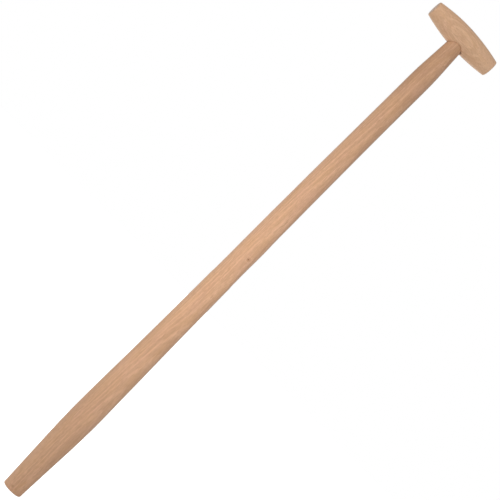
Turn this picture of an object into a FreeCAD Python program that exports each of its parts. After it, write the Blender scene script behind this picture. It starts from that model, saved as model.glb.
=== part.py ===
"""T-handled hardwood shaft: the long two-handed handle of a digging or scooping tool, without its head.

A turned shaft carries a short barrel-shaped crosspiece at its upper end. The lower end is a plain taper
that is driven into the socket of a tool head. The crosspiece is bored through: the neck of the shaft sits
in a shallow seat, and a thinner tenon goes on through the crosspiece. The end of the tenon is sawn, spread
by a wooden wedge driven in from above, and trimmed flush with the crest.

Frame: millimetres, +Z up along the shaft, X along the crosspiece, origin at the centre of the lower end.
Each piece is one solid, written to parts/NODE.step.
"""

import FreeCAD
import Part

import math
import os

Vector = FreeCAD.Vector
ORIGIN = Vector(0, 0, 0)
X_AXIS = Vector(1, 0, 0)
Z_AXIS = Vector(0, 0, 1)

# Crosspiece
CREST_Z = 900.0
GRIP_LENGTH = 116.0
GRIP_MIDDLE_D = 36.5
GRIP_END_D = 24.9
GRIP_END_ROUND = 1.4

# Shaft: straight tapers between these diameters, with a smooth blend at every change of taper
LOWER_END_D = 30.5
SWELL_D = 42.3  # where the tapers on either side would cross; the turned swell is a little thinner
SWELL_Z = 126.0
WAIST_D = 35.7
WAIST_Z = 328.0
HAND_D = 31.5  # the parallel length below the crosspiece
HAND_START_Z = 706.0
HAND_END_Z = 807.0
NECK_D = 25.2
NECK_START_Z = 862.5
LOWER_END_ROUND = 1.2  # this and the blends below are measured each way from the corner they soften
SWELL_BLEND = 36.0
WAIST_BLEND = 80.0
HAND_BLEND = 30.0
SHOULDER_BLEND = 12.0
NECK_BLEND = 3.0

# Joint between the two
SEAT_BELOW_AXIS = 11.5  # floor of the neck's seat, down from the crosspiece's axis
SEAT_CLEARANCE = 0.5  # radial, between the neck and its seat
SEAT_OFFSET_X = 0.38  # the seat was bored a little off the centre of the tenon
SEAT_OFFSET_Y = 0.22
SEAT_EDGE_ROUND = 0.4
TENON_D = 20.0
KERF_WIDTH = 1.2
KERF_DEPTH = 22.0  # down from the crest
TENON_SPREAD = 1.0  # how far each half of the tenon is pushed out at the crest
WEDGE_LENGTH = 18.0
WEDGE_WIDTH = 19.0

GRIP_AXIS_Z = CREST_Z - GRIP_MIDDLE_D / 2
SEAT_Z = GRIP_AXIS_Z - SEAT_BELOW_AXIS
SEAT_RADIUS = NECK_D / 2 + SEAT_CLEARANCE
KERF_BOTTOM_Z = CREST_Z - KERF_DEPTH
UNTRIMMED_Z = CREST_Z + 1.0  # the tenon and wedge stand this high before they are trimmed flush
BELOW_GRIP_Z = GRIP_AXIS_Z - GRIP_MIDDLE_D
LEAN = TENON_SPREAD / KERF_DEPTH  # sideways travel of each half of the tenon, per height above the kerf


def blended_outline(corners, blends):
    """Edges in the XZ plane through (radius, height) corners, each inner corner made a smooth blend."""
    points = [Vector(radius, 0, height) for radius, height in corners]
    edges = []
    start = points[0]
    for before, corner, after, blend in zip(points, points[1:], points[2:], blends):
        blend_start = corner + (before - corner).normalize() * blend
        blend_end = corner + (after - corner).normalize() * blend
        curve = Part.BezierCurve()
        curve.setPoles([blend_start, corner, blend_end])
        edges.append(Part.makeLine(start, blend_start))
        edges.append(curve.toShape())
        start = blend_end
    edges.append(Part.makeLine(start, points[-1]))
    return edges


def turned_shaft():
    """The shaft from its lower end to the shoulder that bears on the floor of the seat."""
    shoulder = Vector(NECK_D / 2, 0, SEAT_Z)
    centre = Vector(0, 0, SEAT_Z)
    corners = [
        (0, 0),
        (LOWER_END_D / 2, 0),
        (SWELL_D / 2, SWELL_Z),
        (WAIST_D / 2, WAIST_Z),
        (HAND_D / 2, HAND_START_Z),
        (HAND_D / 2, HAND_END_Z),
        (NECK_D / 2, NECK_START_Z),
        (NECK_D / 2, SEAT_Z),
    ]
    blends = [LOWER_END_ROUND, SWELL_BLEND, WAIST_BLEND, HAND_BLEND, SHOULDER_BLEND, NECK_BLEND]
    outline = blended_outline(corners, blends)
    outline.append(Part.makeLine(shoulder, centre))
    outline.append(Part.makeLine(centre, ORIGIN))
    return Part.Face(Part.Wire(outline)).revolve(ORIGIN, Z_AXIS, 360)


def turned_grip():
    """The crosspiece before it is bored: a barrel whose side is one long arc."""
    half = GRIP_LENGTH / 2
    left = Vector(-half, 0, GRIP_AXIS_Z)
    right = Vector(half, 0, GRIP_AXIS_Z)
    left_rim = left + Z_AXIS * (GRIP_END_D / 2)
    right_rim = right + Z_AXIS * (GRIP_END_D / 2)
    outline = Part.Wire([
        Part.makeLine(left, left_rim),
        Part.Arc(left_rim, Vector(0, 0, CREST_Z), right_rim).toShape(),
        Part.makeLine(right_rim, right),
        Part.makeLine(right, left),
    ])
    barrel = Part.Face(outline).revolve(left, X_AXIS, 360)
    rims = [edge for edge in barrel.Edges if abs(edge.CenterOfMass.x) > half - 1]
    return barrel.makeFillet(GRIP_END_ROUND, rims)


def tenon_arc(side, z):
    """The tenon's round side at height z, on one side of the kerf, as far out as the wedge pushes it."""
    shift = LEAN * max(0, z - KERF_BOTTOM_Z)
    radius = TENON_D / 2
    flat_x = KERF_WIDTH / 2
    flat_y = math.sqrt(radius**2 - flat_x**2)
    front = Vector(side * (flat_x + shift), -flat_y, z)
    outermost = Vector(side * (radius + shift), 0, z)
    back = Vector(side * (flat_x + shift), flat_y, z)
    return front, Part.Arc(front, outermost, back).toShape(), back


def half_section(side, z):
    front, arc, back = tenon_arc(side, z)
    return Part.Wire([arc, Part.makeLine(back, front)])


def whole_section(z):
    """Outline round both halves of the tenon and whatever lies between them."""
    right_front, right_arc, right_back = tenon_arc(1, z)
    left_front, left_arc, left_back = tenon_arc(-1, z)
    return Part.Wire([
        right_arc,
        Part.makeLine(right_back, left_back),
        left_arc,
        Part.makeLine(left_front, right_front),
    ])


def untrimmed_tenon():
    """The round tenon, its two sawn halves leaning apart from the bottom of the kerf upwards."""
    stem = Part.makeLoft([whole_section(SEAT_Z), whole_section(KERF_BOTTOM_Z)], True, True)
    halves = [
        Part.makeLoft([half_section(side, KERF_BOTTOM_Z), half_section(side, UNTRIMMED_Z)], True, True)
        for side in (-1, 1)
    ]
    return stem.multiFuse(halves)


def mortise():
    """What the crosspiece loses: the neck's seat, the bore, and the flare that the spread tenon fills."""
    seat_foot = Vector(SEAT_OFFSET_X, SEAT_OFFSET_Y, BELOW_GRIP_Z)
    seat = Part.makeCylinder(SEAT_RADIUS, SEAT_Z - BELOW_GRIP_Z, seat_foot)
    heights = (SEAT_Z, KERF_BOTTOM_Z, UNTRIMMED_Z)
    return seat.fuse(Part.makeLoft([whole_section(z) for z in heights], True, True))


def untrimmed_wedge():
    """A slab across Y that fills the opened kerf from its own tip upwards."""
    tip_z = CREST_Z - WEDGE_LENGTH
    half_tip = KERF_WIDTH / 2 + LEAN * (tip_z - KERF_BOTTOM_Z)
    half_top = KERF_WIDTH / 2 + LEAN * (UNTRIMMED_Z - KERF_BOTTOM_Z)
    front_y = -WEDGE_WIDTH / 2
    outline = Part.makePolygon([
        Vector(-half_tip, front_y, tip_z),
        Vector(half_tip, front_y, tip_z),
        Vector(half_top, front_y, UNTRIMMED_Z),
        Vector(-half_top, front_y, UNTRIMMED_Z),
        Vector(-half_tip, front_y, tip_z),
    ])
    return Part.Face(outline).extrude(Vector(0, WEDGE_WIDTH, 0))


def is_seat_opening(edge):
    """True for the curved edges where the seat breaks through the underside of the crosspiece."""
    middle = edge.valueAt((edge.FirstParameter + edge.LastParameter) / 2)
    from_seat_axis = math.hypot(middle.x - SEAT_OFFSET_X, middle.y - SEAT_OFFSET_Y)
    on_seat = abs(from_seat_axis - SEAT_RADIUS) < 0.01
    return on_seat and middle.z < SEAT_Z - 0.1 and edge.Curve.TypeId != "Part::GeomLine"


def crosspiece_grip(barrel):
    bored = barrel.cut(mortise())
    return bored.makeFillet(SEAT_EDGE_ROUND, [edge for edge in bored.Edges if is_seat_opening(edge)])


def shaft(barrel):
    return turned_shaft().fuse(untrimmed_tenon().common(barrel)).removeSplitter()


def tenon_wedge(barrel):
    return untrimmed_wedge().common(barrel)


def main():
    barrel = turned_grip()
    pieces = {
        "shaft": shaft(barrel),
        "crosspiece_grip": crosspiece_grip(barrel),
        "tenon_wedge": tenon_wedge(barrel),
    }
    os.makedirs("parts", exist_ok=True)
    for node, shape in pieces.items():
        if not shape.isValid() or len(shape.Solids) != 1:
            raise ValueError(f"{node} is not one valid solid")
        shape.Solids[0].exportStep(f"parts/{node}.step")


main()
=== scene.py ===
"""Looks of a T-handled ash tool shaft: a turned shaft, its bored crosspiece, and the wedge that locks them.

Metres, +Z up along the shaft, X along the crosspiece, origin at the centre of the shaft's lower end.
The wedge keeps its CAD mesh. The crosspiece is a copy of its CAD mesh with slightly uneven ends. The shaft is
a finer mesh, turned on the outline of its CAD node. All the wood is solid texture, so rings, pores and rays
run through from side grain to end grain.
"""

import bpy
import math

import bmesh
import numpy as np
from mathutils import Matrix, Vector, noise


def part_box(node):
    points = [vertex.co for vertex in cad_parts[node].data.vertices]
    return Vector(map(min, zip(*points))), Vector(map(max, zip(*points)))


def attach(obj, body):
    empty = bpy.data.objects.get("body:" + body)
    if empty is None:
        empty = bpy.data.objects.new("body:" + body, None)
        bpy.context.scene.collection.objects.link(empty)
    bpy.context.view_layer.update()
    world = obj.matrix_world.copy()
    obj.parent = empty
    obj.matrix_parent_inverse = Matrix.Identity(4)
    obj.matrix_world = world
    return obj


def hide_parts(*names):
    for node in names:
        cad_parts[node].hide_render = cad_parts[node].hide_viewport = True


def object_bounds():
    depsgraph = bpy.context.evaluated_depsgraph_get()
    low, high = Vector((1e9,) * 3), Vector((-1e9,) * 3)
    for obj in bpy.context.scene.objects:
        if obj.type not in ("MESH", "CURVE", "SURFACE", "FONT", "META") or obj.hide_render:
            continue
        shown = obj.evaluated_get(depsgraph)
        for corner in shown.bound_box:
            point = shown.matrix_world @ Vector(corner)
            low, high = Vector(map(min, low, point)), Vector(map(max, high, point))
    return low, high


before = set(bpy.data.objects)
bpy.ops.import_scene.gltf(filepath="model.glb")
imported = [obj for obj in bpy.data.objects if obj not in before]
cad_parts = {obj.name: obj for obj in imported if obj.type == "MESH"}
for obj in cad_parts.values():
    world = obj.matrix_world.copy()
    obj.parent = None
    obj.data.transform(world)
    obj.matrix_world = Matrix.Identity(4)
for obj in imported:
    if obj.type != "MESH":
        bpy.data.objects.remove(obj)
cad_low, cad_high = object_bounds()

MM = 0.001

# Camera: a little below the middle of the shaft, and a little to the left of the crosspiece's front
CAMERA_AZIMUTH = math.radians(-9.2)
CAMERA_DISTANCE = 1.6
CAMERA_HEIGHT = 0.400
AIM = Vector((-0.0011, 0, 0.4624))
LENS = 83.22
ROLL = math.radians(45.02)  # the shaft's slope in the frame

# How finely the shaft's mesh is made
SEGMENTS = 144
END_ROWS = 15
ROW = 2.0 * MM
FINE_ROW = 0.5 * MM
FINE_ZONE = 12.0 * MM  # fine rows reach this far above the lower end, and above and below the knot
NECK_ZONE = 30.0 * MM  # rows twice as high as the fine ones cover this much of the neck
EASING = 4.0 * MM  # changes of taper are smoothed over this much to either side
TENON_ROWS = (0, 0.33, 0.66, 1)  # rows of the tenon's halves, as shares of the way from the kerf's bottom up
CREST_ROWS = 12

# Sizes of the CAD shapes that the outline of a node doesn't give
RIM_ROUND = 1.2 * MM
TENON_RADIUS = 10.0 * MM
KERF_HALF_WIDTH = 0.6 * MM
KERF_DEPTH = 22.0 * MM
TENON_SPREAD = 1.0 * MM
GRIP_END_RADIUS = 12.45 * MM

# How the real shaft strays from its CAD shape
BOW = 1.1 * MM  # towards -X, at the height where the stick is furthest from straight
BOW_SPAN = 830.0 * MM
BOW_SKEW = 1.9  # above 1 that height is above the middle of the span
WAVER = 0.16 * MM
WAVER_LENGTH = 85.0 * MM
WAVER_ROUND = 1.3  # how fast it changes round the shaft
FINE_WAVER = 0.04 * MM
FINE_WAVER_RATE = 3.1  # how many times faster the fine waver changes
STEP_HEIGHT = 404.0 * MM  # a shallow step where one turning cut met the next, fading out upwards
STEP_DEPTH = 0.36 * MM
STEP_RISE = 6.0 * MM
STEP_FADE = 120.0 * MM
SAW_WAVER = 0.05 * MM  # on the lower end's flat face
SAW_WAVE = 4.0 * MM
KNOT_HEIGHT = 451.0 * MM
KNOT_ANGLE = math.radians(-75.0)
KNOT_COLLAR = 0.22 * MM  # the wood stands up a little round the knot
COLLAR_RADIUS = 4.5 * MM
KNOT_DIMPLE = 0.45 * MM  # and the knot itself has sunk
DIMPLE_RADIUS = 1.1 * MM
SWELLING_HEIGHT = 468.0 * MM  # the wood swells a little beside the knot
SWELLING_ANGLE = math.radians(-10.0)
SWELLING = 0.60 * MM
SWELLING_LENGTH = 22.0 * MM
SWELLING_SPREAD = math.radians(45.0)
RIM_PITS = (  # height, angle round the shaft, depth, radius
    (7.0 * MM, math.radians(-109), 0.25 * MM, 1.5 * MM),
    (6.6 * MM, math.radians(-86), 0.15 * MM, 1.1 * MM),
)

# How the real crosspiece strays from its CAD shape
TRUE_GRIP = 14.0 * MM  # it keeps that shape this far from its middle
LEFT_END_GROWTH = -0.045  # and its hand-turned ends stray from it by these shares of their radius
RIGHT_END_GROWTH = 0.030
GROWTH_CURVE = 1.5  # above 1 most of it is near the end

_, GRIP_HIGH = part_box("crosspiece_grip")
_, SHAFT_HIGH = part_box("shaft")
GRIP_RADIUS = GRIP_HIGH.y
CREST_Z = SHAFT_HIGH.z
GRIP_AXIS_Z = CREST_Z - GRIP_RADIUS
KERF_BOTTOM_Z = CREST_Z - KERF_DEPTH


# Mesh helpers

class Shell:
    """A mesh made row by row."""

    def __init__(self):
        self.points = []
        self.faces = []

    def row(self, points):
        start = len(self.points)
        self.points.extend(points)
        return list(range(start, len(self.points)))

    def skin(self, first, second, closed=False):
        """Quads between two rows of the same length."""
        count = len(first)
        for i in range(count if closed else count - 1):
            j = (i + 1) % count
            self.faces.append((first[i], first[j], second[j], second[i]))

    def build(self, name, sharp):
        mesh = bpy.data.meshes.new(name)
        mesh.from_pydata(self.points, [], self.faces)
        work = bmesh.new()
        work.from_mesh(mesh)
        bmesh.ops.remove_doubles(work, verts=work.verts, dist=1e-6)
        bmesh.ops.recalc_face_normals(work, faces=work.faces)
        for face in work.faces:
            face.smooth = True
        work.to_mesh(mesh)
        work.free()
        mesh.set_sharp_from_angle(angle=sharp)
        return linked(name, mesh)


def linked(name, data):
    thing = bpy.data.objects.new(name, data)
    bpy.context.scene.collection.objects.link(thing)
    return thing


def circle(radius, angles, height):
    return [(radius * math.cos(a), radius * math.sin(a), height) for a in angles]


def bump(distance, radius):
    return math.exp(-((distance / radius) ** 2))


def angle_between(first, second):
    return (first - second + math.pi) % (2 * math.pi) - math.pi


# Shaft

def cad_outline():
    """Heights and radii of the shaft's CAD node, from its lower end up to the shoulder in the crosspiece."""
    widest = {}
    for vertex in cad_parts["shaft"].data.vertices:
        height = round(vertex.co.z, 5)
        widest[height] = max(widest.get(height, 0), math.hypot(vertex.co.x, vertex.co.y))
    shoulder = max(height for height, radius in widest.items() if radius > TENON_RADIUS + 2 * MM)
    rows = sorted((height, radius) for height, radius in widest.items() if height <= shoulder)
    return np.array(rows).T


OUTLINE_HEIGHTS, OUTLINE_RADII = cad_outline()
SHOULDER_Z = OUTLINE_HEIGHTS[-1]


def outline_radius(height):
    """Radius of the shaft's CAD outline at a height or at many."""
    return np.interp(height, OUTLINE_HEIGHTS, OUTLINE_RADII)


def bow(height):
    """How far the real stick's middle line strays from straight. The joint's end stays true."""
    share = min(height / BOW_SPAN, 1)
    return BOW * math.sin(math.pi * share**BOW_SKEW)


def turning_step(height):
    """How much thinner the shaft is than its outline above the step."""
    rise = (height - STEP_HEIGHT) / STEP_RISE
    fall = (height - STEP_HEIGHT) / STEP_FADE
    return STEP_DEPTH * min(max(rise, 0), 1) * (1 - min(max(fall, 0), 1) ** 2)


def shaft_point(radius, angle, height):
    """A point of the turned surface, with the slight waver that sanding leaves, its knot and its pits."""
    place = Vector((math.cos(angle) * WAVER_ROUND, math.sin(angle) * WAVER_ROUND, height / WAVER_LENGTH))
    radius += noise.noise(place) * WAVER + noise.noise(place * FINE_WAVER_RATE) * FINE_WAVER
    radius -= turning_step(height)
    towards_swelling = bump(angle_between(angle, SWELLING_ANGLE), SWELLING_SPREAD)
    radius += SWELLING * towards_swelling * bump(height - SWELLING_HEIGHT, SWELLING_LENGTH)
    if abs(height - KNOT_HEIGHT) < FINE_ZONE:
        distance = math.hypot(angle_between(angle, KNOT_ANGLE) * radius, height - KNOT_HEIGHT)
        radius += KNOT_COLLAR * bump(distance, COLLAR_RADIUS) - KNOT_DIMPLE * bump(distance, DIMPLE_RADIUS)
    if height < FINE_ZONE:
        for pit_height, pit_angle, depth, size in RIM_PITS:
            across = angle_between(angle, pit_angle) * radius
            radius -= depth * bump(math.hypot(across, height - pit_height), size)
    return (radius * math.cos(angle) - bow(height), radius * math.sin(angle), height)


def row_heights():
    """Heights of the side's rows: close together round the rim and its pits, by the knot and on the neck."""
    quarter = np.linspace(0, math.pi / 2, 10)
    parts = [
        RIM_ROUND * (1 - np.cos(quarter)),
        np.arange(RIM_ROUND + FINE_ROW, FINE_ZONE, FINE_ROW),
        np.arange(FINE_ZONE, KNOT_HEIGHT - FINE_ZONE, ROW),
        np.arange(KNOT_HEIGHT - FINE_ZONE, KNOT_HEIGHT + FINE_ZONE, FINE_ROW),
        np.arange(KNOT_HEIGHT + FINE_ZONE, SHOULDER_Z - NECK_ZONE, ROW),
        np.arange(SHOULDER_Z - NECK_ZONE, SHOULDER_Z - FINE_ROW, 2 * FINE_ROW),
        [SHOULDER_Z],
    ]
    return np.concatenate(parts)


def row_radii(heights):
    """Radii of the side's rows, with the changes of taper eased between the rim and the joint."""
    eased = sum(outline_radius(heights + shift) for shift in np.linspace(-EASING, EASING, 9)) / 9
    along_side = (heights > 2 * EASING) & (heights < SHOULDER_Z - 3 * EASING)
    return np.where(along_side, eased, outline_radius(heights))


def lower_face(shell, rim_radius, angles):
    """The sawn face of the lower end, with a waver that fades out towards the rim. Returns its last row."""
    centre = shell.row([(0, 0, SAW_WAVER)])[0]
    previous = None
    for share in np.linspace(0.06, 1, END_ROWS + 1)[:-1]:
        points = []
        for x, y, _ in circle(rim_radius * share, angles, 0):
            waver = 1 + noise.noise(Vector((x, y, 0)) / SAW_WAVE)
            points.append((x, y, (1 - share**4) * SAW_WAVER * waver))
        row = shell.row(points)
        if previous:
            shell.skin(previous, row, closed=True)
        else:
            shell.faces.extend((centre, row[i], row[(i + 1) % SEGMENTS]) for i in range(SEGMENTS))
        previous = row
    return previous


# The tenon's ring has a point on each edge of the kerf, this many points from the middle of its half
EDGE_POINT = SEGMENTS // 4 - 1


def tenon_angle(i):
    """Angle of point i of the tenon's ring, moved a little so that four points lie on the kerf's edges."""
    squeeze = math.acos(KERF_HALF_WIDTH / TENON_RADIUS) / (2 * math.pi * EDGE_POINT / SEGMENTS)
    half_turns = round(2 * i / SEGMENTS)
    near = i - half_turns * SEGMENTS // 2
    if abs(near) > EDGE_POINT:
        return 2 * math.pi * i / SEGMENTS
    return half_turns * math.pi + 2 * math.pi * near / SEGMENTS * squeeze


def crest_height(x, y):
    """Height of the top of the crosspiece above a point of the plan."""
    half, drop = GRIP_HIGH.x, GRIP_RADIUS - GRIP_END_RADIUS
    sweep = (half**2 + drop**2) / (2 * drop)
    radius = GRIP_RADIUS - sweep + math.sqrt(sweep**2 - x**2)
    return GRIP_AXIS_Z + math.sqrt(radius**2 - y**2)


def tenon_half(shell, base, middle, sign):
    """Half of the tenon above the kerf's bottom, leaning outwards and trimmed to the crosspiece's crest.

    base: the ring at the kerf's bottom. middle: the ring's point in the middle of this half. sign: the side
    of the kerf that it is on. Returns the row along the foot of the kerf's wall.
    """
    order = [(middle + k) % SEGMENTS for k in range(-EDGE_POINT, EDGE_POINT + 1)]
    plan = [(x, y) for x, y, _ in circle(TENON_RADIUS, [tenon_angle(i) for i in order], 0)]
    kerf = [(sign * KERF_HALF_WIDTH, y) for _, y in plan]

    def raised(points, share):
        """Points of the plan lifted by a share of the way to the crest, leaning as they rise."""
        lifted = []
        for x, y in points:
            rise = share * (crest_height(x + sign * TENON_SPREAD, y) - KERF_BOTTOM_Z)
            lifted.append((x + sign * TENON_SPREAD * rise / KERF_DEPTH, y, KERF_BOTTOM_Z + rise))
        return lifted

    rounds = [raised(plan, share) for share in TENON_ROWS[1:]]
    for share in np.linspace(0, 1, CREST_ROWS + 1)[1:]:
        inner = [(x + share * (kerf_x - x), y) for (x, y), (kerf_x, _) in zip(plan, kerf)]
        rounds.append(raised(inner, 1))
    rounds += [raised(kerf, share) for share in TENON_ROWS[-2::-1]]
    lower = [base[i] for i in order]
    for points in rounds:
        upper = shell.row(points)
        shell.skin(lower, upper)
        lower = upper
    return lower


def tenon(shell, previous):
    """The round tenon up to the bottom of its saw kerf, its two halves, and the kerf's floor."""
    ring = [tenon_angle(i) for i in range(SEGMENTS)]
    for height in (SHOULDER_Z, KERF_BOTTOM_Z):
        row = shell.row(circle(TENON_RADIUS, ring, height))
        shell.skin(previous, row, closed=True)
        previous = row
    right = tenon_half(shell, previous, 0, 1)
    left = tenon_half(shell, previous, SEGMENTS // 2, -1)
    shell.skin(right, left[::-1])
    shell.faces.append((right[-1], previous[SEGMENTS // 4], left[0]))
    shell.faces.append((right[0], previous[3 * SEGMENTS // 4], left[-1]))


def turned_shaft():
    shell = Shell()
    angles = [2 * math.pi * i / SEGMENTS for i in range(SEGMENTS)]
    heights = row_heights()
    radii = row_radii(heights)
    previous = lower_face(shell, radii[0], angles)
    for radius, height in zip(radii, heights):
        row = shell.row([shaft_point(radius, angle, height) for angle in angles])
        shell.skin(previous, row, closed=True)
        previous = row
    tenon(shell, previous)
    return shell.build("turned_shaft", sharp=math.radians(40))


# Crosspiece

def turned_crosspiece():
    """The CAD mesh of the crosspiece, with one end a little slimmer and the other a little fuller."""
    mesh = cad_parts["crosspiece_grip"].data.copy()
    for vertex in mesh.vertices:
        x, y, z = vertex.co
        share = max(0, abs(x) - TRUE_GRIP) / (GRIP_HIGH.x - TRUE_GRIP)
        growth = 1 + (LEFT_END_GROWTH if x < 0 else RIGHT_END_GROWTH) * share**GROWTH_CURVE
        vertex.co = (x, y * growth, GRIP_AXIS_Z + (z - GRIP_AXIS_Z) * growth)
    return linked("turned_crosspiece", mesh)


# Node helpers

class Graph:
    """Short calls that add and link shader nodes. A value is a number, a tuple or another node's socket."""

    def __init__(self, material):
        self.tree = material.node_tree

    def put(self, value, socket):
        if isinstance(value, bpy.types.NodeSocket):
            self.tree.links.new(value, socket)
        else:
            socket.default_value = value

    def add(self, kind, sockets, **settings):
        node = self.tree.nodes.new("ShaderNode" + kind)
        for key, value in settings.items():
            setattr(node, key, value)
        for key, value in sockets.items():
            self.put(value, node.inputs[key])
        return node

    def math(self, operation, *values):
        return self.add("Math", dict(enumerate(values)), operation=operation).outputs[0]

    def total(self, *values):
        result = values[0]
        for value in values[1:]:
            result = self.math("ADD", result, value)
        return result

    def product(self, first, second):
        return self.math("MULTIPLY", first, second)

    def vector(self, operation, *values, output="Vector"):
        return self.add("VectorMath", dict(enumerate(values)), operation=operation).outputs[output]

    def combine(self, x, y, z):
        return self.add("CombineXYZ", {"X": x, "Y": y, "Z": z}).outputs[0]

    def split(self, vector):
        return self.add("SeparateXYZ", {0: vector}).outputs[:3]

    def ramp(self, value, low, high):
        """0 at low and 1 at high with a smooth change between them; low may be above high."""
        if low > high:
            return self.math("SUBTRACT", 1.0, self.ramp(value, high, low))
        sockets = {"Value": value, "From Min": low, "From Max": high}
        return self.add("MapRange", sockets, interpolation_type="SMOOTHSTEP").outputs["Result"]

    def noise(self, place, sizes, detail=1.0):
        """Smooth noise from 0 to 1 whose blobs are about sizes long along each axis."""
        scaled = self.vector("DIVIDE", place, sizes)
        sockets = {"Vector": scaled, "Scale": 1.0, "Detail": detail, "Roughness": 0.55}
        return self.add("TexNoise", sockets).outputs["Fac"]

    def sway(self, place, sizes, amount, detail=1.0):
        """Noise about 0, reaching roughly the amount either way."""
        return self.math("MULTIPLY_ADD", self.noise(place, sizes, detail), 3.2 * amount, -1.6 * amount)

    def cells(self, place, sizes):
        """Distance from the nearest of many scattered points, whose cells are about sizes long."""
        scaled = self.vector("DIVIDE", place, sizes)
        sockets = {"Vector": scaled, "Scale": 1.0, "Randomness": 1.0}
        return self.add("TexVoronoi", sockets, feature="F1").outputs["Distance"]

    def blend(self, factor, first, second):
        node = self.tree.nodes.new("ShaderNodeMix")
        node.data_type = "RGBA"
        for name, value in (("Factor_Float", factor), ("A_Color", first), ("B_Color", second)):
            self.put(value, next(s for s in node.inputs if s.identifier == name))
        return next(s for s in node.outputs if s.identifier == "Result_Color")


def rgba(red, green, blue):
    return (red, green, blue, 1.0)


# Wood. Lengths here are in mm.

EARLY_SHARE = 0.3  # of a year's ring
KNOT_PUSH = (5.5, 0.5)  # distances from the knot between which the rings are pushed aside more and more
HALO_FADE = (4.5, 1.0)  # and between which the knot's halo and its core grow to full strength
CORE_FADE = (1.5, 0.6)

# Sizes of what varies in the wood: twice across the grain, then along it
RING_WAVER = (34, 34, 260)
FINE_RING_WAVER = (5, 5, 90)
VESSELS = (0.62, 0.62, 15)
SMALL_VESSELS = (0.42, 0.42, 7)
VESSEL_WAVER = ((6, 6, 30), (7, 5, 34))  # one for each direction across the grain
RAYS = (1.3, 1.3, 3.4)
DARK_STREAKS = (1.5, 1.5, 62)
WARM_PATCHES = (9, 9, 34)
ROSY_PATCHES = (12, 12, 40)
SWIRLS = (6, 6, 24)
RAISED_FIBRES = (0.22, 0.22, 9)
TURNING_MARKS = (60, 60, 0.35)
DULL_PATCHES = (9, 9, 40)

# Changes of tone along the fibres: sizes and strength
STREAK_LAYERS = (((1.1, 1.1, 60), 0.09), ((3.2, 3.2, 150), 0.075))
FIBRE_LAYERS = (((14, 14, 120), 0.035), ((1.0, 1.0, 7), 0.15), ((0.3, 0.3, 10), 0.14))

WARM = rgba(0.84, 0.49, 0.24)
ROSY = rgba(0.83, 0.47, 0.34)
SWIRL = rgba(0.60, 0.32, 0.15)
KNOT_HALO = rgba(0.42, 0.20, 0.10)
KNOT_CORE = rgba(0.33, 0.15, 0.075)
# Dark brown for the dirt in the rim's pits, and for the painted shade in the joint's corner
STAIN_AND_SHADE = rgba(0.34, 0.16, 0.06)
ROUGHNESS = 0.66
SPECULAR = 0.32
SHEEN = 0.55
SHEEN_ROUGHNESS = 0.3
RELIEF_STRENGTH = 0.5
RELIEF_HEIGHT = 0.12 * MM  # this one is in metres, as the Bump node takes it


def grain_axes(g, grain):
    """The point in the object, the same point by the wood's axes, and the normal's part along the grain."""
    spot = g.add("TexCoord", {})
    x, y, z = (g.product(value, 1000.0) for value in g.split(spot.outputs["Object"]))
    normal = g.split(spot.outputs["Normal"])
    if grain == "Z":
        return g.combine(x, y, z), (x, y, z), normal[2]
    return g.combine(x, y, z), (y, g.math("SUBTRACT", z, GRIP_AXIS_Z / MM), x), normal[0]


def growth_rings(g, axes, place, pith, tilt, sweep, ring, waver, knot_distance):
    """Late wood, early wood and a chance value for each year, in rings round a leaning, wavering pith."""
    one, two, along = axes
    bend = g.product(g.product(along, along), sweep)
    lean_one = g.math("ADD", g.math("MULTIPLY_ADD", along, tilt[0], pith[0]), bend)
    lean_two = g.math("MULTIPLY_ADD", along, tilt[1], pith[1])
    from_pith = g.combine(g.math("SUBTRACT", one, lean_one), g.math("SUBTRACT", two, lean_two), 0.0)
    reach = g.vector("LENGTH", from_pith, output="Value")
    reach = g.total(reach, g.sway(place, RING_WAVER, waver), g.sway(place, FINE_RING_WAVER, 0.12 * waver))
    if knot_distance is not None:
        reach = g.math("ADD", reach, g.product(g.ramp(knot_distance, *KNOT_PUSH), 1.1 * ring))
    uneven = g.sway(g.combine(reach, 0.0, 0.0), (2.7 * ring, 1, 1), 0.16 * waver)
    count = g.math("DIVIDE", g.math("ADD", reach, uneven), ring)
    phase = g.math("FRACT", count)
    year = g.add("TexWhiteNoise", {"W": g.math("FLOOR", count)}, noise_dimensions="1D").outputs["Value"]
    late = g.product(g.ramp(phase, 0.5 * EARLY_SHARE, 1.6 * EARLY_SHARE), g.ramp(phase, 1.0, 0.87))
    early = g.product(g.ramp(phase, 1.5 * EARLY_SHARE, 0.8 * EARLY_SHARE), g.ramp(phase, 0.0, 0.05))
    return late, early, year


def open_pores(g, place, early):
    """Long thin vessels, crowded in the early wood and scattered elsewhere."""
    astray = [g.sway(place, sizes, 0.35) for sizes in VESSEL_WAVER]
    wavering = g.vector("ADD", place, g.combine(*astray, 0.0))
    vessel = g.ramp(g.cells(wavering, VESSELS), 0.34, 0.14)
    small_vessel = g.ramp(g.cells(wavering, SMALL_VESSELS), 0.26, 0.10)
    return g.math("MAXIMUM", g.product(vessel, early), g.product(small_vessel, 0.45))


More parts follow.
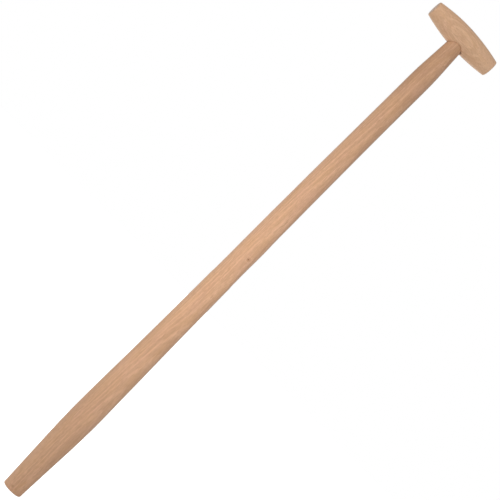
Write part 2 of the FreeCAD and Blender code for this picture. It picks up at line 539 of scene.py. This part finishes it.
def grain_tone(g, place, along, cut_across, late, year, middle_tone, ring_strength, streaks, clearest):
    """Tone of the wood between deep and pale: fibres, rings, dark streaks and the pale flecks of the rays."""
    fibres = [g.sway(place, sizes, strength * streaks, 2.0) for sizes, strength in STREAK_LAYERS]
    fibres += [g.sway(place, sizes, strength) for sizes, strength in FIBRE_LAYERS]
    rays = g.ramp(g.noise(place, RAYS), 0.56, 0.72)
    dark_streaks = g.ramp(g.noise(place, DARK_STREAKS, 2.0), 0.60, 0.76)
    rings = g.math("MULTIPLY_ADD", late, ring_strength, g.product(year, 0.5 * ring_strength))
    if clearest:
        faintness = g.product(g.ramp(g.math("ABSOLUTE", along), *clearest), 0.65)
        rings = g.math("MULTIPLY_ADD", faintness, g.math("SUBTRACT", 0.6 * ring_strength, rings), rings)
    return g.total(
        middle_tone,
        *fibres,
        g.product(rings, -1.0),
        g.product(rays, 0.12),
        g.product(cut_across, -0.30),
        g.product(dark_streaks, -0.24 * streaks),
    )


def grain_colour(g, place, cut_across, pores, tone, pale, deep, pore):
    """Colour from the tone, with warm, rosy and brown patches, and the pores."""
    base = g.blend(g.ramp(tone, 0.0, 1.0), rgba(*deep), rgba(*pale))
    warm = g.ramp(g.noise(place, WARM_PATCHES, 2.0), 0.42, 0.66)
    base = g.blend(g.product(warm, 0.16), base, WARM)
    elsewhere = g.vector("ADD", place, (70, 0, 0))
    rosy = g.ramp(g.noise(elsewhere, ROSY_PATCHES, 2.0), 0.46, 0.68)
    base = g.blend(g.product(rosy, 0.16), base, ROSY)
    swirls = g.ramp(g.noise(place, SWIRLS), 0.64, 0.78)
    base = g.blend(g.product(swirls, 0.28), base, SWIRL)
    pore_depth = g.product(pores, g.math("MULTIPLY_ADD", cut_across, 0.25, 0.55))
    return g.blend(pore_depth, base, rgba(*pore))


def relief(g, place, pores, late, turned):
    """Open pores, raised fibres, and the fine rings that turning and sanding leave round the piece."""
    height = g.total(g.product(pores, -1.0), g.sway(place, RAISED_FIBRES, 0.35), g.product(late, 0.25))
    if turned:
        height = g.math("ADD", height, g.sway(place, TURNING_MARKS, 0.30, 2.0))
    sockets = {"Strength": RELIEF_STRENGTH, "Distance": RELIEF_HEIGHT, "Height": height}
    return g.add("Bump", sockets).outputs["Normal"]


def wood(name, grain, pith, tilt, ring, pale, deep, pore, ring_strength, waver, middle_tone=0.62, sweep=0.0,
         streaks=1.0, clearest=None, painted_shading_bands=(), painted_side_shading=(), knot=None, stains_and_shade=(), turned=False):
    """Solid ring-porous wood.

    grain: axis that the fibres follow.
    pith: where the rings' centre line crosses the plane of the origin, as two cross-grain coordinates.
    tilt: how that line leans per mm along the grain. sweep: how it curves.
    ring: width of a year's ring. waver: how far the rings stray.
    middle_tone: the tone that all else varies, from 0 for deep to 1 for pale. streaks: how strong they are.
    clearest: distances from the middle between which the rings grow faint.
    shades: (from, to, change) sets, each a smooth change of tone between two places along the grain: painted
    light and shade.
    sides: (from, to, direction, change) sets, a tone of painted light and shade that grows by change per mm
    towards one side, past to.
    knot: centre of the knot. stains: (centre, radius, strength) sets, for dirt and for painted shade. turned:
    whether lathe marks show.
    """
    material = bpy.data.materials.new(name)
    material.use_nodes = True
    g = Graph(material)

    point, axes, facing = grain_axes(g, grain)
    along = axes[2]
    place = g.combine(*axes)
    cut_across = g.ramp(g.math("ABSOLUTE", facing), 0.72, 0.98)
    knot_distance = g.vector("DISTANCE", point, knot, output="Value") if knot else None
    late, early, year = growth_rings(g, axes, place, pith, tilt, sweep, ring, waver, knot_distance)
    pores = open_pores(g, place, early)

    tone = grain_tone(g, place, along, cut_across, late, year, middle_tone, ring_strength, streaks, clearest)
    # Painted light and shade: the tone changes along the grain
    for start, end, change in painted_shading_bands:
        tone = g.math("ADD", tone, g.product(g.ramp(along, start, end), change))
    # Painted light and shade: the tone changes towards one side as seen from the front
    for start, end, direction, change in painted_side_shading:
        sideways = g.vector("DOT_PRODUCT", place, direction, output="Value")
        tone = g.math("MULTIPLY_ADD", g.product(g.ramp(along, start, end), change), sideways, tone)

    shade = grain_colour(g, place, cut_across, pores, tone, pale, deep, pore)
    if knot:
        shade = g.blend(g.product(g.ramp(knot_distance, *HALO_FADE), 0.35), shade, KNOT_HALO)
        shade = g.blend(g.ramp(knot_distance, *CORE_FADE), shade, KNOT_CORE)
    # Darker spots: dirt in the pits, and painted shade in the corner of the joint
    for centre, radius, strength in stains_and_shade:
        distance = g.vector("DISTANCE", point, centre, output="Value")
        shade = g.blend(g.product(g.ramp(distance, radius, 0.3 * radius), strength), shade, STAIN_AND_SHADE)

    shader = g.tree.nodes["Principled BSDF"].inputs
    g.put(shade, shader["Base Color"])
    g.put(relief(g, place, pores, late, turned), shader["Normal"])
    g.put(g.total(ROUGHNESS, g.product(pores, 0.12), g.sway(place, DULL_PATCHES, 0.03)), shader["Roughness"])
    shader["Specular IOR Level"].default_value = SPECULAR
    shader["Sheen Weight"].default_value = SHEEN
    shader["Sheen Roughness"].default_value = SHEEN_ROUGHNESS
    return material


def on_shaft(height, angle, radius):
    """A point of the shaft's surface, in mm."""
    return (radius / MM * math.cos(angle), radius / MM * math.sin(angle), height / MM)


def pit_stain(height, angle, depth, radius):
    """Dirt in a pit of the rim, the stronger the deeper the pit is."""
    return on_shaft(height, angle, outline_radius(RIM_ROUND)), 2.0 * radius / MM, 1.4 * depth / MM


PORE = (0.36, 0.18, 0.09)
# Painted shade: the dark of the shadowed corner between the neck and the crosspiece, laid into the colour
JOINT_SHADE = ((11.6, -5.5, 865.0), 3.4, 0.32)  # in the notch between the neck and the crosspiece
# Direction in which the painted side shading grows
TO_THE_RIGHT = (0.99, -0.16, 0)  # as seen from the front

shaft_wood = wood(
    "shaft_ash", "Z", pith=(-31, 64), tilt=(0.012, -0.018), ring=2.6,
    pale=(0.885, 0.535, 0.335), deep=(0.570, 0.320, 0.182), pore=PORE,
    ring_strength=0.20, waver=3.0, streaks=1.2, turned=True,
    # Painted light and shade along the shaft: paler low down, darker on the neck below the crosspiece
    painted_shading_bands=[(290, 205, 0.10), (700, 880, -0.22)],
    # Painted light and shade across the shaft: darker towards the right low down, paler towards the right
    # higher up
    painted_side_shading=[(150, 40, TO_THE_RIGHT, -0.013), (740, 800, TO_THE_RIGHT, 0.016)],
    knot=on_shaft(KNOT_HEIGHT, KNOT_ANGLE, outline_radius(KNOT_HEIGHT)),
    # Dirt in the rim's pits, and painted shade in the joint's corner
    stains_and_shade=[pit_stain(*pit) for pit in RIM_PITS] + [JOINT_SHADE],
)
grip_wood = wood(
    "crosspiece_ash", "X", pith=(64.6, 14.1), tilt=(-0.027, 0.0), sweep=-0.0014, ring=2.6,
    pale=(0.953, 0.617, 0.395), deep=(0.63, 0.37, 0.213), pore=PORE,
    ring_strength=0.19, waver=0.6, middle_tone=0.51, streaks=0.8, clearest=(20, 50), turned=True,
    # Painted light: the crosspiece grows paler towards its +X end
    painted_shading_bands=[(-62, 62, 0.22)],
    # Painted shade in the joint's corner
    stains_and_shade=[JOINT_SHADE],
)
wedge_wood = wood(
    "wedge_hardwood", "Z", pith=(4, -30), tilt=(0.0, 0.0), ring=1.6,
    pale=(0.50, 0.27, 0.14), deep=(0.27, 0.12, 0.06), pore=(0.12, 0.05, 0.03),
    ring_strength=0.2, waver=0.5,
)

for piece, node, material, slot in (
    (turned_shaft(), "shaft", shaft_wood, "shaft_ash"),
    (turned_crosspiece(), "crosspiece_grip", grip_wood, "crosspiece_ash"),
):
    piece.data.materials.clear()
    piece.data.materials.append(material)
    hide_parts(node)
    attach(piece, "root")
for material_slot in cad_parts["tenon_wedge"].material_slots:
    material_slot.material = wedge_wood


# Stage

FLOOR_RADIUS = 14.0
FLOOR_GAP = 0.5 * MM
WORLD_LIGHT = 0.36
NEUTRAL = (1.0, 1.0, 1.0)
LIGHTS = (  # name, azimuth in degrees, distance, height above the middle, size, watts, colour
    ("side", -100, 0.40, -0.03, 0.30, 0.50, (0.76, 0.93, 1.0)),
    ("key", -40, 0.40, -0.03, 0.30, 0.46, (1.0, 0.87, 0.79)),
    ("fill", 20, 0.40, -0.03, 0.30, 0.67, (0.90, 0.96, 1.0)),
    ("upper", -30, 0.45, 0.62, 0.35, 1.07, NEUTRAL),
    ("back", 172, 0.80, 0.00, 0.50, 2.5, NEUTRAL),
)


def seen_white(tree, strength_socket, strength_unseen):
    """Makes an emission look white to camera rays and light all other rays by strength_unseen."""
    path = tree.nodes.new("ShaderNodeLightPath")
    strength = tree.nodes.new("ShaderNodeMapRange")
    strength.inputs["To Min"].default_value = strength_unseen
    strength.inputs["To Max"].default_value = 1.0
    tree.links.new(path.outputs["Is Camera Ray"], strength.inputs["Value"])
    tree.links.new(strength.outputs["Result"], strength_socket)


def around(middle, azimuth, distance, rise):
    """A place at an azimuth from the front, which is -Y, and above the middle by rise."""
    return middle + Vector((math.sin(azimuth) * distance, -math.cos(azimuth) * distance, rise))


scene = bpy.context.scene
scene.view_settings.view_transform = "Standard"
world = bpy.data.worlds.new("studio")
world.use_nodes = True
scene.world = world
background = world.node_tree.nodes["Background"]
background.inputs["Color"].default_value = rgba(1, 1, 1)
seen_white(world.node_tree, background.inputs["Strength"], WORLD_LIGHT)

floor_mesh = bpy.data.meshes.new("floor")
floor_work = bmesh.new()
bmesh.ops.create_circle(floor_work, cap_ends=True, radius=FLOOR_RADIUS, segments=96)
floor_work.to_mesh(floor_mesh)
floor_work.free()
floor = linked("floor", floor_mesh)
floor.location.z = cad_low.z - FLOOR_GAP
floor_paint = bpy.data.materials.new("floor_white")
floor_paint.use_nodes = True
floor_shader = floor_paint.node_tree.nodes["Principled BSDF"].inputs
floor_shader["Base Color"].default_value = rgba(0.85, 0.85, 0.85)
floor_shader["Roughness"].default_value = 1.0
floor_shader["Specular IOR Level"].default_value = 0.0
floor_shader["Emission Color"].default_value = rgba(1, 1, 1)
seen_white(floor_paint.node_tree, floor_shader["Emission Strength"], 0.0)
floor_mesh.materials.append(floor_paint)

shaft_middle = Vector((0, 0, (cad_low.z + cad_high.z) / 2))
for name, azimuth, distance, rise, size, watts, colour in LIGHTS:
    lamp = bpy.data.lights.new(name, "AREA")
    lamp.size = size
    lamp.energy = watts
    lamp.color = colour
    holder = linked(name, lamp)
    holder.location = around(shaft_middle, math.radians(azimuth), distance, rise)
    holder.rotation_euler = (shaft_middle - holder.location).to_track_quat("-Z", "Y").to_euler()
    holder.visible_camera = False


# Camera

eye = around(Vector((0, 0, 0)), CAMERA_AZIMUTH, CAMERA_DISTANCE, CAMERA_HEIGHT)
forward = (AIM - eye).normalized()
upright = (Vector((0, 0, 1)) - forward * forward.z).normalized()
sideways = forward.cross(upright)
right = math.cos(ROLL) * upright + math.sin(ROLL) * sideways
up = math.sin(ROLL) * upright - math.cos(ROLL) * sideways
camera_data = bpy.data.cameras.new("camera")
camera_data.lens = LENS
camera = linked("camera", camera_data)
camera.matrix_world = Matrix((
    (right.x, up.x, -forward.x, eye.x),
    (right.y, up.y, -forward.y, eye.y),
    (right.z, up.z, -forward.z, eye.z),
    (0, 0, 0, 1),
))
scene.camera = camera
